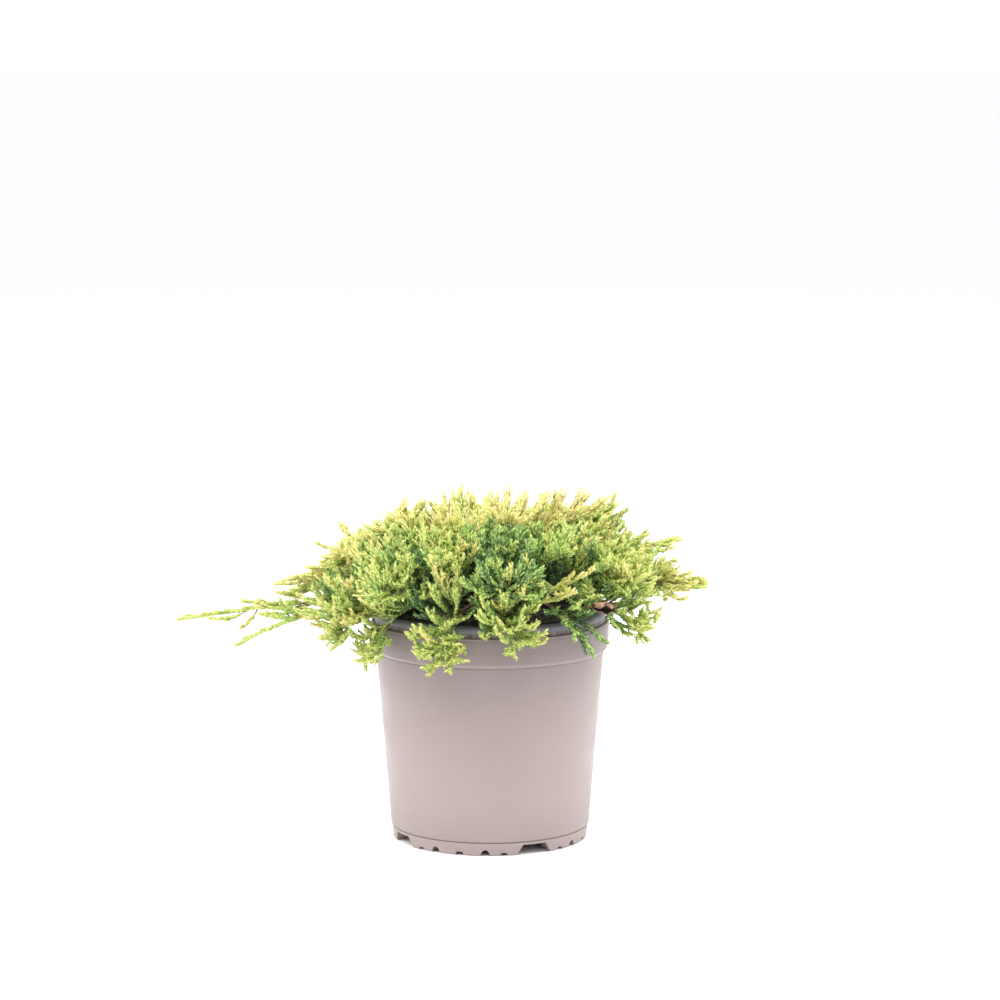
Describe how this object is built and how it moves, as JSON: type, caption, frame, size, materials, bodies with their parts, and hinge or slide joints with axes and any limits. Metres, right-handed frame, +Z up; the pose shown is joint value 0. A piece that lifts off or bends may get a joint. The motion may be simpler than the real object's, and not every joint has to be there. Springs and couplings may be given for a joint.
{
  "type": "potted golden carpet juniper",
  "caption": "Low spreading conifer with golden green feathery sprays that arch over the rim of a tapered round nursery pot with a collar, a rolled lip and a notched foot ring.",
  "frame": {"origin": "The middle of the outer box of the plant and pot together, on the ground plane that the pot's foot ring stands on. The pot's own axis stands a little to the right of it and to the front, as the crown reaches further to the left and to the back.", "axes": "+Z is up. +X is to the right of the front view, along the crown's longest spread. +Y points to the back of the plant, away from the viewer."},
  "size_m": [0.4234, 0.2822, 0.277],
  "materials": {
    "pot": "satin taupe",
    "soil": "rough dark peat",
    "bark": "rough flaking bark",
    "golden_needles": "matt scale leaves",
    "green_needles": "matt scale leaves"
  },
  "bodies": {
    "root": {"pot": "pot", "soil": "soil", "trunk": "bark", "bough_runner_left": "bark", "mass_runner_left": "green_needles", "bough_runner_fore": "bark", "mass_runner_fore": "green_needles", "bough_skirt_left": "bark", "mass_skirt_left": "green_needles", "bough_hang_left": "bark", "mass_hang_left": "green_needles", "bough_hang_fore": "bark", "mass_hang_fore": "green_needles", "bough_lip_fore": "bark", "mass_lip_fore": "green_needles", "bough_hang_right": "bark", "mass_hang_right": "green_needles", "bough_skirt_right": "bark", "mass_skirt_right": "green_needles", "bough_runner_right": "bark", "mass_runner_right": "green_needles", "bough_skirt_back_right": "bark", "mass_skirt_back_right": "green_needles", "bough_skirt_back": "bark", "mass_skirt_back": "green_needles", "bough_skirt_back_left": "bark", "mass_skirt_back_left": "green_needles", "bough_mid_left": "bark", "mass_mid_left": "green_needles", "bough_mid_high_left": "bark", "mass_mid_high_left": "green_needles", "bough_mid_low_fore": "bark", "mass_mid_low_fore": "green_needles", "bough_mid_fore_left": "bark", "mass_mid_fore_left": "green_needles", "bough_mid_fore": "bark", "mass_mid_fore": "green_needles", "bough_mid_fore_right": "bark", "mass_mid_fore_right": "green_needles", "bough_mid_right": "bark", "mass_mid_right": "green_needles", "bough_mid_high_right": "bark", "mass_mid_high_right": "green_needles", "bough_mid_back_right": "bark", "mass_mid_back_right": "green_needles", "bough_mid_back": "bark", "mass_mid_back": "green_needles", "bough_mid_back_left": "bark", "mass_mid_back_left": "green_needles", "mass_top_left": "golden_needles", "mass_top_fore_left": "golden_needles", "mass_top_fore": "golden_needles", "mass_top_middle": "golden_needles", "mass_top_right": "golden_needles", "mass_top_far_right": "golden_needles", "mass_top_back": "golden_needles"}
  },
  "joints": []
}
